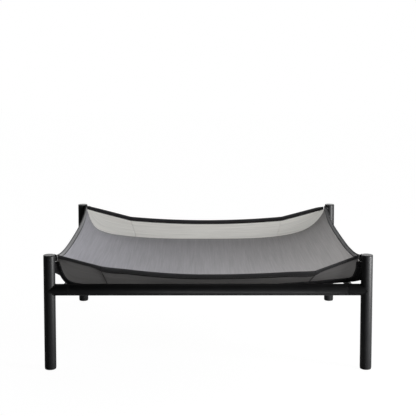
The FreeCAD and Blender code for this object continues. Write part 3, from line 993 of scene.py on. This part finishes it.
class DOGBED_OT_rails(Operator):
    """Rail stubs with their weld beads, the four rails and the screws under them"""
    bl_idname = "dogbed.rails"
    bl_label = "Rails"

    SCREW_IN = 15 * MM      # from a rail's end to its screw

    def execute(self, context):
        for corner in CORNERS:
            self.rail_stub(corner)
            self.side_stub(corner)
        for name, sy in (("front_rail", -1), ("back_rail", 1)):
            self.rail(name, (-RAIL_END, sy * POST_Y, RAIL_Z), (1, 0, 0), TUBE_R, 2 * RAIL_END)
        for name, sx in (("side_rail_left", -1), ("side_rail_right", 1)):
            self.rail(name, (sx * SIDE_X, -SIDE_END, RAIL_Z), (0, 1, 0), SIDE_R, 2 * SIDE_END)
        self.screws("rail_screws", RAIL_END - self.SCREW_IN, POST_Y - TUBE_R, RAIL_Z, (0, 1, 0))
        self.screws("side_rail_screws", SIDE_X, SIDE_END - self.SCREW_IN, RAIL_Z - SIDE_R,
                    (0, 0, -1))
        self.inner_parts()
        return {"FINISHED"}

    def rail_stub(self, corner):
        sx, sy = corner_signs(corner)
        start = np.array([sx * POST_X, sy * POST_Y, RAIL_Z])
        self.stub("stub_" + corner, "rail_stub_" + corner, "weld_stub_" + corner, start,
                  (-sx, 0, 0), TUBE_R, TUBE_WALL, POST_X - RAIL_END)

    def side_stub(self, corner):
        sx, sy = corner_signs(corner)
        start = np.array([sx * SIDE_X, sy * POST_Y, RAIL_Z])
        self.stub("side_stub_tube_" + corner, "side_stub_" + corner, "weld_side_stub_" + corner,
                  start, (0, -sy, 0), SIDE_R, SIDE_WALL, POST_Y - SIDE_END)

    def stub(self, name, node, weld, start, direction, radius, wall, long):
        """A short tube coped to the tube that it stands on, with its weld bead."""
        t = tubes()
        points, quads, cope = coped_tube(start, direction, radius, wall, long, TUBE_R,
                                         t.sides, t.edge)
        closed_piece(name, points, quads, "coat", node)
        self.weld(weld, cope, start)

    def weld(self, name, cope, start):
        """The bead lies in the corner between two tubes, so it leans away from both axes."""
        out = unit(cope - start)
        points, quads = bead_round(cope - out * 0.4 * MM, tubes().weld, out)
        closed_piece(name, points, quads, "coat")

    def rail(self, name, start, direction, radius, long):
        t = tubes()
        wall = TUBE_WALL if radius > SIDE_R else SIDE_WALL
        points, quads = turned(tube_profile(radius, wall, long, t.edge), start, direction, t.sides)
        closed_piece(name + "_tube", points, quads, "coat", name)

    def screws(self, node, x, y, z, toward):
        """Button-head screws at the four rail ends, on the inner sides or undersides."""
        parts = []
        for sx in (-1, 1):
            for sy in (-1, 1):
                out = (toward[0], -sy * toward[1], toward[2])
                parts.append(button_head((sx * x, sy * y, z), out, 5 * MM, 2.6 * MM, 1.9 * MM))
        points, quads = join_parts(parts)
        closed_piece(node + "_heads", points, quads, "fastener", node)

    def inner_parts(self):
        """The spigots and rivet nuts keep their own solids; they only need their plating."""
        for node in frame["nodes"]:
            if "spigot" in node or node == "rivet_nuts":
                dress(frame["nodes"][node], MATERIALS["zinc"])


def dress(piece, material):
    """Puts one material in every slot of an object."""
    piece.data.materials.clear()
    piece.data.materials.append(material)


def button_head(seat, direction, radius, height, socket_r):
    """A domed screw head with a six-sided socket.

    The dome is a quarter ellipse from the rim to the socket; the socket's wall is pushed out to a
    hexagon by 1 / cos of the angle from its nearest flat."""
    sides = 48
    outline = [(0.0, 0.0), (radius * 0.94, 0.0), (radius, height * 0.12)]
    for q in np.linspace(0.08, 1, 9):
        a = q * math.pi / 2
        outline.append((mix(socket_r * 1.25, radius, math.cos(a)),
                        height * mix(0.12, 1, math.sin(a))))
    outline += [(socket_r, height), (socket_r, height * 0.35), (0.0, height * 0.3)]
    points, quads = turned(outline, seat, direction, sides)
    points = points.reshape(len(outline), sides, 3)
    u, v, _ = axes_along(direction)
    a = round_angles(sides)
    flat = (a + math.pi / 6) % (math.pi / 3) - math.pi / 6
    wide = socket_r / np.cos(flat)
    ring = np.cos(a)[:, None] * u + np.sin(a)[:, None] * v
    for row in (-3, -2):
        points[row] += (wide - socket_r)[:, None] * ring * 0.95
    return points.reshape(-1, 3), quads


# Corner fittings ---------------------------------------------------------------------------------

def bolt_line(corner):
    """Start, on the post's axis, and direction of a corner's bolt."""
    sx, sy = corner_signs(corner)
    height = middle_of_group("sling_washers", corner)[2]
    start = np.array([sx * POST_X, sy * POST_Y, height])
    return start, unit(np.array([-sx, -sy, 0.0]))


def middle_of_group(node, corner):
    """The middle of the one solid of a group that lies in a corner."""
    sx, sy = corner_signs(corner)
    obj = frame["nodes"][node]
    points = np.zeros(len(obj.data.vertices) * 3)
    obj.data.vertices.foreach_get("co", points)
    points = points.reshape(-1, 3)
    near = points[(points[:, 0] * sx > 0) & (points[:, 1] * sy > 0)]
    return (near.min(0) + near.max(0)) / 2


class DOGBED_OT_fittings(Operator):
    """Corner tabs, eyelets, washers and bolts that hold the sling to the posts"""
    bl_idname = "dogbed.fittings"
    bl_label = "Corner fittings"

    TAB_AT = 17.6 * MM
    TAB_H = 2.2 * MM
    FLANGE = 0.5 * MM

    def execute(self, context):
        for corner in CORNERS:
            start, out = bolt_line(corner)
            tab = self.part("tab_" + corner, [self.tab(start, out)], "webbing", "webbing")
            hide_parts("corner_tab_" + corner)
        groups = (("eyelets", self.eyelet, "eyelet", "sling_eyelets"),
                  ("washers", self.washer, "fastener", "sling_washers"),
                  ("bolt_heads", self.bolt, "fastener", "sling_bolts"))
        for name, make, finish, node in groups:
            piece = self.part(name, [make(*bolt_line(c)) for c in CORNERS], finish, "black_steel")
            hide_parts(node)
        return {"FINISHED"}

    def part(self, name, parts, finish, slot):
        points, quads = join_parts(parts)
        piece = make_piece(name, points, quads, [MATERIALS[finish]], merge=True)
        return piece

    def tab(self, start, out):
        """A round of doubled webbing with soft edges and a hole."""
        r, h = 10.4 * MM, self.TAB_H
        hole = 4.7 * MM
        outline = arc((r - h / 2, h / 2), h / 2, -90, 90, 9) + [(hole, h), (hole, 0.0)]
        outline.append(outline[0])
        return turned(outline, start + out * self.TAB_AT, out, 48)

    def eyelet(self, start, out):
        """A rolled ring on the inner face, a barrel and a flat flange on the post side."""
        bore, wide, h = 3.6 * MM, 8.0 * MM, self.TAB_H
        roll = 0.8 * MM
        outline = [(bore, -self.FLANGE), (wide, -self.FLANGE), (wide, 0.0), (4.6 * MM, 0.0)]
        outline += [(4.6 * MM, h), (wide - roll, h)]
        outline += arc((wide - roll, h + roll / 2), roll / 2, -90, 90, 6)
        outline += [(bore + roll, h + roll * 0.95), (bore, h + self.FLANGE), (bore, -self.FLANGE)]
        return turned(outline, start + out * self.TAB_AT, out, 48)

    def washer(self, start, out):
        r, bore, h = 7.0 * MM, 3.3 * MM, 1.0 * MM
        outline = [(bore, 0.0)] + arc((r - 0.3 * MM, 0.3 * MM), 0.3 * MM, -90, 0, 4)
        outline += arc((r - 0.3 * MM, h - 0.3 * MM), 0.3 * MM, 0, 90, 4) + [(bore, h), (bore, 0.0)]
        return turned(outline, start + out * (self.TAB_AT + self.TAB_H + self.FLANGE), out, 48)

    def bolt(self, start, out):
        seat = self.TAB_AT + self.TAB_H + self.FLANGE + 1.0 * MM
        return button_head(start + out * seat, out, 5.5 * MM, 3.2 * MM, 2.0 * MM)


# Cloth pieces ------------------------------------------------------------------------------------

class DOGBED_OT_base(Operator):
    """The sling's base panel, a trough between the two side hems"""
    bl_idname = "dogbed.base"
    bl_label = "Sling base"

    def execute(self, context):
        g = sling()
        q = np.linspace(-1, 1, 241)[None, :]
        s = np.linspace(-1, 1, 161)[:, None]
        limit = 1 - np.where(q < 0, hem_share(s, -1), hem_share(s, 1)) * 0.6
        u = limit * np.sin(q * math.pi / 2)
        grid = base_surface(u, s)
        across = running_length(grid[s.size // 2])
        along = running_length(grid[:, q.size // 2])
        uv = np.stack(np.meshgrid(across, along), axis=-1)
        # Rows run front to back and columns left to right, so the normals point down.
        grid = grid[:, ::-1]
        uv = uv[:, ::-1]
        piece = cloth_shell("base_panel", grid, uv, g.cloth,
                            [MATERIALS["base_inside"], MATERIALS["base_outside"]])
        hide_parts("sling_base")
        return {"FINISHED"}


class DOGBED_OT_walls(Operator):
    """The turned-up end walls, each a centre piece and two corner pieces"""
    bl_idname = "dogbed.walls"
    bl_label = "End walls"

    def execute(self, context):
        for end in ENDS:
            kink = end_value(end, "kink_x")
            foot = kink * sling().kink_lean / sling().edge_x
            q = np.linspace(-1, 1, 141)
            self.wall(end, "centre", q * kink, q * foot)
            t = np.linspace(0, 1, 81)
            x = mix(kink, sling().hem_end - 3 * MM, t)
            u = mix(foot, 0.993, np.sin(t * math.pi / 2))
            self.wall(end, "right", x, u)
            self.wall(end, "left", -x[::-1], -u[::-1])
        return {"FINISHED"}

    def wall(self, end, part, x, u):
        g = sling()
        v = np.linspace(0, 1, 25)
        grid = wall_surface(end, x, u, v)
        along, _, uv = cloth_lengths(grid)
        if end == "back":
            grid, uv = grid[:, ::-1], uv[:, ::-1]
        piece = cloth_shell(f"{end}_wall_{part}_cloth", grid, uv, g.cloth,
                            [MATERIALS["wall_inside"], MATERIALS["wall_outside"]])
        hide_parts(f"{end}_wall_{part}")
        area = cloth_area(grid)


SEWN_ROWS = (0.16, 0.86)        # where a hem is sewn, as shares of its width
THREAD_SIDES, TACK_SIDES, RIDGE_SIDES = 7, 16, 8


def hem_outline(thick):
    """A folded tape's section: (out, share of the width) round a flat loop, fullest above the
    middle, pressed in along its two rows of stitches and rounded at the folded top edge."""
    up = (1 - np.cos(np.linspace(0, 1, 26) * math.pi)) / 2
    half = thick / 2 * (0.60 + 0.40 * np.sin(up * math.pi) ** 0.6)
    for row in SEWN_ROWS:
        half -= 0.30 * MM * np.exp(-((up - row) / 0.05) ** 2)
    half[0] *= 0.5
    half[-1] *= 0.3
    face = np.stack([half, up], axis=1)
    back = np.stack([-half, up], axis=1)[::-1]
    return np.concatenate([face, back])


def folded_hem(path, out, up, width, thick):
    """Points, quads and uv of a hem of a width that may change along its path.

    The uv values are the length along the hem and the share of its width."""
    outline = hem_outline(thick)
    width = np.broadcast_to(width, len(path))
    points, quads = carried(outline, path, out, up * width[:, None])
    shape = (len(path), len(outline))
    along = np.broadcast_to(running_length(path)[:, None], shape)
    uv = np.stack([along, np.broadcast_to(outline[None, :, 1], shape)], axis=-1)
    uv = np.concatenate([uv.reshape(-1, 2), [[0.0, 0.5], [along[-1, 0], 0.5]]])
    return points, quads, uv


def stitches(path, out, ahead, size, gap, radius):
    """Short threads lying end to end on a path, each dipping into the cloth at both ends.

    Each stitch is a small tube of seven sides whose middle stands out by its own radius."""
    steps = running_length(path)
    count = max(2, int(steps[-1] / (size + gap)))
    starts = (np.arange(count) + 0.15) * steps[-1] / count
    rings = np.array([0.0, 0.15, 0.5, 0.85, 1.0])
    at = starts[:, None] + rings[None] * size
    centre = np.stack([np.interp(at, steps, path[:, k]) for k in range(3)], axis=-1)
    o = unit(np.stack([np.interp(at, steps, out[:, k]) for k in range(3)], axis=-1))
    d = unit(np.stack([np.interp(at, steps, ahead[:, k]) for k in range(3)], axis=-1))
    other = np.cross(o, d)
    lift = radius * (2.0 * np.sin(rings * np.pi) ** 0.5 - 1.0)
    thick = radius * np.array([0.5, 0.9, 1.0, 0.9, 0.5])
    a = round_angles(THREAD_SIDES)
    section = (np.cos(a)[None, None, :, None] * o[:, :, None]
               + np.sin(a)[None, None, :, None] * other[:, :, None])
    centre = centre + o * (lift * 0.5)[None, :, None]
    points = centre[:, :, None] + section * thick[None, :, None, None]
    one = grid_quads(len(rings), THREAD_SIDES, close_columns=True)
    first = np.arange(count) * len(rings) * THREAD_SIDES
    quads = (one[None] + first[:, None, None]).reshape(-1, 4)
    return points.reshape(-1, 3), quads


def sewn_rows(path, out, up, width, thick):
    """Two stitch rows on both faces of a hem, near its lower and upper edges."""
    g = sling()
    ahead = unit(np.gradient(path, axis=0))
    width = np.broadcast_to(width, len(path))[:, None]
    parts = []
    for row in SEWN_ROWS:
        for face in (1, -1):
            line = path + up * width * row + out * face * thick * 0.44
            parts.append(stitches(line, out * face, ahead, g.stitch, g.stitch_gap, g.thread))
    return parts


class DOGBED_OT_hems(Operator):
    """Folded hems along all four edges of the sling, with their stitching"""
    bl_idname = "dogbed.hems"
    bl_label = "Hems"

    def execute(self, context):
        for side, name in ((-1, "left"), (1, "right")):
            self.side_hem(side, name)
        for end in ENDS:
            self.end_hem(end)
        return {"FINISHED"}

    def side_hem(self, side, name):
        """The hem follows the base's slope at its edge: its width lies in the base surface."""
        g = sling()
        s = np.linspace(-1, 1, 181)
        cover = hem_share(s, side)
        edge = base_surface(np.full_like(s, side), s)
        inner = base_surface(side * (1 - cover), s)
        up = unit(edge - inner)
        ahead = unit(np.gradient(edge, axis=0))
        out = unit(np.cross(ahead, up)) * side
        path = edge - up * g.hem_width
        points, quads, uv = folded_hem(path, out, up, g.hem_width, g.hem_thick)
        piece = make_piece(f"side_hem_{name}_fold", points, quads, [MATERIALS["side_hem"]], uv)
        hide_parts("side_hem_" + name)
        self.sew(f"side_hem_{name}_stitches", sewn_rows(path, out, up, g.hem_width, g.hem_thick),
                 "base_mesh")

    def end_hem(self, end):
        """Three lengths of hem that meet at the kinks, narrowing towards the front posts."""
        g = sling()
        kink = end_value(end, "kink_x")
        gap = 0.15 * MM
        spans = ((-g.hem_end, -kink - gap, 61), (-kink + gap, kink - gap, 141),
                 (kink + gap, g.hem_end, 61))
        points, quads, uvs, sewing, count = [], [], [], [], 0
        for first, last, steps in spans:
            x = np.linspace(first, last, steps)
            path, out, up = hem_frame(end, x)
            width = hem_wide(end, x)
            path = path + up * (g.hem_width - width)[:, None]
            part, faces, uv = folded_hem(path, out, up, width, g.hem_thick)
            points.append(part)
            quads.append(faces + count)
            uvs.append(uv)
            count += len(part)
            sewing += sewn_rows(path, out, up, width, g.hem_thick)
        piece = make_piece(f"{end}_hem_tape", np.concatenate(points), np.concatenate(quads),
                           [MATERIALS["end_hem"]], np.concatenate(uvs))
        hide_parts(end + "_hem")
        self.sew(f"{end}_hem_stitches", sewing, "hem_tape")
        self.bar_tacks(end, kink)

    def bar_tacks(self, end, kink):
        """A dense bar of thread round the hem at each kink: a block whose section is a blunt
        oval."""
        g = sling()
        parts = []
        for side in (-1, 1):
            x = side * kink + np.array([-1.7, -1.2, 1.2, 1.7]) * MM
            path, out, up = hem_frame(end, x)
            a = round_angles(TACK_SIDES)
            deep = g.hem_thick / 2 + np.array([-0.2, 0.45, 0.45, -0.2]) * MM
            tall = g.hem_width * 0.5 + np.array([-0.6, 0.1, 0.1, -0.6]) * MM
            middle_line = path + up * g.hem_width * 0.5
            blunt = np.sign(np.cos(a)) * np.abs(np.cos(a)) ** 0.5
            sharp = np.sign(np.sin(a)) * np.abs(np.sin(a)) ** 0.3
            ring = (out[:, None] * (deep[:, None] * blunt)[..., None]
                    + up[:, None] * (tall[:, None] * sharp)[..., None])
            points = (middle_line[:, None] + ring).reshape(-1, 3)
            parts.append(close_ends(points, grid_quads(len(x), TACK_SIDES, close_columns=True),
                                    len(x), TACK_SIDES))
        points, quads = join_parts(parts)
        closed_piece(f"{end}_bar_tacks", points, quads, "tack")

    def sew(self, name, parts, slot):
        points, quads = join_parts(parts)
        piece = make_piece(name, points, quads, [MATERIALS["thread"]])


class DOGBED_OT_seams(Operator):
    """Seam tapes over the end seams on the walls' outer faces, and the walls' raised seams"""
    bl_idname = "dogbed.seams"
    bl_label = "Seams"

    END = {"front": 0.988, "back": 0.978}       # where a tape stops, as a share of the side's reach
    OUTSIDE, INSIDE = 3.0 * MM, 9.0 * MM        # how far a tape reaches to each side of its seam
    OFF_WALL, THICK = 2.6 * MM, 1.0 * MM
    # Beside a front post the tape goes up to the hem and widens to its own edge there, from a
    # height that differs at the left and the right, and turns inwards, clear of the post.
    TOP, WIDEN_OVER = 296 * MM, 9 * MM
    WIDEN_LEFT, WIDEN_RIGHT = 256 * MM, 236 * MM
    EDGE_LEFT, EDGE_RIGHT = -421.0 * MM, 422.4 * MM
    TURN_FROM, TURN_OVER, TURN_IN = 405 * MM, 16 * MM, 3.2 * MM

    def execute(self, context):
        for end in ENDS:
            self.seam_tape(end)
            self.seam_ridge(end)
            for side, name in ((-1, "left"), (1, "right")):
                self.wall_seam(end, side, name)
        return {"FINISHED"}

    def seam_tape(self, end):
        """A flat tape over the seam, on the wall's outer face, reaching further out beside a
        post."""
        side = side_of(end)
        u = self.END[end] * np.sin(np.linspace(-1, 1, 361) * math.pi / 2)
        seam = base_surface(u, np.full_like(u, side))
        if end == "front":
            seam = self.up_to_hem(seam)
        ahead = np.gradient(seam, axis=0)
        out = unit(np.stack([ahead[:, 2], np.zeros(len(seam)), -ahead[:, 0]], axis=-1))
        outer, inner = seam + out * self.OUTSIDE, seam - out * self.INSIDE
        if end == "front":
            from_z = np.where(seam[:, 0] < 0, self.WIDEN_LEFT, self.WIDEN_RIGHT)
            widen = smooth_step((seam[:, 2] - from_z) / self.WIDEN_OVER)[:, None]
            edge = np.where(seam[:, :1] < 0, self.EDGE_LEFT, self.EDGE_RIGHT)
            outer = mix(outer, np.concatenate([edge, seam[:, 1:]], axis=1), widen)
        reach = np.linspace(0, 1, 9)[None, :]
        grid = mix(outer[:, None], inner[:, None], reach[..., None])
        beyond = np.clip((np.abs(grid[..., 0]) - self.TURN_FROM) / self.TURN_OVER, 0, 1)
        turn_in = self.TURN_IN * beyond ** 2 * (end == "front")
        wall = wall_place(end, grid[..., 0], grid[..., 2])
        grid[..., 1] = side * (wall + self.OFF_WALL - turn_in)
        if side > 0:
            grid = grid[:, ::-1]
        along, down, uv = cloth_lengths(grid)
        piece = cloth_shell(f"{end}_seam_tape_strip", grid, uv, self.THICK,
                            [MATERIALS["webbing"], MATERIALS["webbing"]])
        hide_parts(end + "_seam_tape")
        rows = []
        for row in (1, 7):
            line = grid[:, row] + np.array([0.0, side * 0.55 * MM, 0.0])
            facing = np.broadcast_to(np.array([0.0, side, 0.0]), line.shape)
            rows.append(stitches(line, facing, unit(np.gradient(line, axis=0)), sling().stitch,
                                 sling().stitch_gap, sling().thread))
        points, quads = join_parts(rows)
        sewing = make_piece(f"{end}_seam_stitches", points, quads, [MATERIALS["thread"]])

    def up_to_hem(self, seam):
        """The tape's line made longer: straight up from both of its ends to the hem."""
        more = np.linspace(0, 1, 9)[1:, None]
        first = mix(seam[0], np.array([seam[0, 0] - MM, seam[0, 1], self.TOP]), more)[::-1]
        last = mix(seam[-1], np.array([seam[-1, 0] + MM, seam[-1, 1], self.TOP]), more)
        return np.concatenate([first, seam, last])

    def seam_ridge(self, end):
        """The turned-in edge where base and wall meet, a soft ridge along the seam."""
        u = 0.985 * np.sin(np.linspace(-1, 1, 301) * math.pi / 2)
        line = base_surface(u, np.full_like(u, side_of(end)))
        self.ridge(f"{end}_seam_ridge", line, 1.25 * MM)

    def wall_seam(self, end, side, name):
        """The sloping seam between the centre and a corner piece of a wall."""
        kink = np.array([side * end_value(end, "kink_x")])
        foot = kink * sling().kink_lean / sling().edge_x
        line = wall_surface(end, kink, foot, np.linspace(0, 1, 25))[0]
        line[:, 1] += side_of(end) * 0.9 * MM
        self.ridge(f"{end}_wall_seam_{name}", line, 1.4 * MM)

    def ridge(self, name, line, radius):
        """A round ridge of eight sides along a line."""
        ahead = unit(np.gradient(line, axis=0))
        out = np.broadcast_to(np.array([0.0, 1.0, 0.0]), line.shape)
        up = unit(np.cross(ahead, out))
        out = unit(np.cross(up, ahead))
        a = round_angles(RIDGE_SIDES)
        outline = np.stack([np.cos(a) * radius, np.sin(a) * radius * 0.7], axis=1)
        points, quads = carried(outline, line, out, up)
        closed_piece(name, points, quads, "seam_edge")


# Stage -------------------------------------------------------------------------------------------

class DOGBED_OT_stage(Operator):
    """Pale floor, white surroundings, soft lights and the camera"""
    bl_idname = "dogbed.stage"
    bl_label = "Stage"

    # Each light's name, place, width, height and power, and how the names of the pieces that it
    # lights start, where it doesn't light them all.
    LIGHTS = (
        ("strip", (1.75, -0.95, 0.50), 0.42, 1.0, 20.0),
        ("key", (1.9, 0.30, 1.10), 1.0, 1.0, 4.0),
        ("edge", (1.75, -0.95, 0.66), 0.34, 0.8, 104.0, ("post_",)),
        ("bounce", (0.10, -0.56, 0.01), 0.62, 0.16, 1.6, ("front_rail",)),
        ("fill", (0.3, -1.5, 1.35), 1.2, 0.8, 22.5, ("front_wall", "back_wall")),
        ("top", (0.24, -0.50, 0.84), 0.50, 0.30, 4.4, ("base_panel",)),
    )
    AIM = (0.0, 0.0, 0.22)
    FLOOR_HALF, FLOOR_Z = 12.0, -0.3 * MM
    FLOOR_WHITE = 0.88                  # how much of the floor's look is the camera's white
    SENSOR = 36.0                       # in millimetres
    CAMERA_TURN = math.radians(-0.13)

    def execute(self, context):
        self.floor()
        self.surroundings()
        for light in self.LIGHTS:
            self.light(*light)
        self.camera()
        scene = bpy.context.scene
        scene.view_settings.view_transform = "Standard"
        scene.view_settings.look = "None"
        return {"FINISHED"}

    def floor(self):
        """A square plane at the height the feet stand on."""
        half, z = self.FLOOR_HALF, self.FLOOR_Z
        points = [(-half, -half, z), (half, -half, z), (half, half, z), (-half, half, z)]
        mesh = bpy.data.meshes.new("floor")
        mesh.from_pydata(points, [], [(0, 1, 2, 3)])
        f = Finish("pale_floor", 0.9, Specular_IOR_Level=0.1)
        tone = tuple(bpy.context.scene.dog_bed.stage.floor)
        f.set("Base Color", f.blend(f.noise(f.object_point(), 3.0), scaled(tone, 0.99), tone))
        f.white_to_camera(self.FLOOR_WHITE)
        mesh.materials.append(f.material)
        floor = bpy.data.objects.new("floor", mesh)
        bpy.context.scene.collection.objects.link(floor)

    def surroundings(self):
        """White to the eye; as light, bright behind and at the sides and dim in front."""
        world = bpy.data.worlds.new("studio")
        bpy.context.scene.world = world
        world.use_nodes = True
        tree = world.node_tree
        tree.nodes.clear()
        new, link = tree.nodes.new, tree.links.new
        parts = new("ShaderNodeSeparateXYZ")
        link(new("ShaderNodeTexCoord").outputs["Generated"], parts.inputs[0])
        x, y, z = (Value(tree, parts.outputs[n]) for n in ("X", "Y", "Z"))
        behind = ((y + 0.35) * 0.9).held(0.0, 1.0)
        right = ((x + 0.7) * 0.7).held(0.0, 1.0)
        low = 1.25 - z.held(0.0, 1.0) * 0.95
        strength = 0.03 + behind * behind * low * (0.9 + right * 1.25)
        lit, seen = new("ShaderNodeBackground"), new("ShaderNodeBackground")
        link(strength.socket, lit.inputs["Strength"])
        seen.inputs["Color"].default_value = (1.0, 1.0, 1.0, 1.0)
        pick, out = new("ShaderNodeMixShader"), new("ShaderNodeOutputWorld")
        link(new("ShaderNodeLightPath").outputs["Is Camera Ray"], pick.inputs[0])
        link(lit.outputs[0], pick.inputs[1])
        link(seen.outputs[0], pick.inputs[2])
        link(pick.outputs[0], out.inputs["Surface"])

    def light(self, name, place, wide, high, power, only=()):
        """A soft light towards the sling, kept to the pieces whose names start in a given way."""
        data = bpy.data.lights.new(name, "AREA")
        data.shape = "RECTANGLE"
        data.size, data.size_y, data.energy = wide, high, power
        lamp = bpy.data.objects.new(name, data)
        lamp.location = place
        lamp.visible_camera = False
        toward = Vector(self.AIM) - Vector(place)
        lamp.rotation_euler = toward.to_track_quat("-Z", "Y").to_euler()
        bpy.context.scene.collection.objects.link(lamp)
        if only:
            lit = bpy.data.collections.new("lit_by_" + name)
            for piece in bpy.data.objects:
                if piece.name.startswith(only):
                    lit.objects.link(piece)
            lamp.light_linking.receiver_collection = lit

    def camera(self):
        s = bpy.context.scene.dog_bed.stage
        data = bpy.data.cameras.new("camera")
        data.lens = s.lens
        data.sensor_width = self.SENSOR
        data.shift_x, data.shift_y = s.shift_x, s.shift_y
        data.clip_end = 100.0
        camera = bpy.data.objects.new("camera", data)
        camera.location = (s.aside, -s.distance, s.height)
        camera.rotation_euler = (math.radians(90) - s.pitch, 0.0, self.CAMERA_TURN)
        bpy.context.scene.collection.objects.link(camera)
        bpy.context.scene.camera = camera


class DOGBED_PT_panel(Panel):
    """Buttons for each group of pieces"""
    bl_idname = "DOGBED_PT_panel"
    bl_label = "Dog Bed"
    bl_space_type = "VIEW_3D"
    bl_region_type = "UI"
    bl_category = "Dog Bed"

    def draw(self, context):
        for operator in OPERATORS:
            self.layout.operator(operator.bl_idname)


SETTINGS = (BedFrameSettings, BedSlingSettings, BedStageSettings, DogBedSettings)
OPERATORS = (DOGBED_OT_posts, DOGBED_OT_rails, DOGBED_OT_fittings, DOGBED_OT_base,
             DOGBED_OT_walls, DOGBED_OT_hems, DOGBED_OT_seams, DOGBED_OT_stage)


def register():
    for kind in (*SETTINGS, *OPERATORS, DOGBED_PT_panel):
        bpy.utils.register_class(kind)
    bpy.types.Scene.dog_bed = PointerProperty(type=DogBedSettings)


def unregister():
    del bpy.types.Scene.dog_bed
    for kind in reversed((*SETTINGS, *OPERATORS, DOGBED_PT_panel)):
        bpy.utils.unregister_class(kind)


def main():
    register()
    make_materials()
    for operator in OPERATORS:
        group, name = operator.bl_idname.split(".")
        getattr(getattr(bpy.ops, group), name)()


if __name__ == "__main__":
    main()
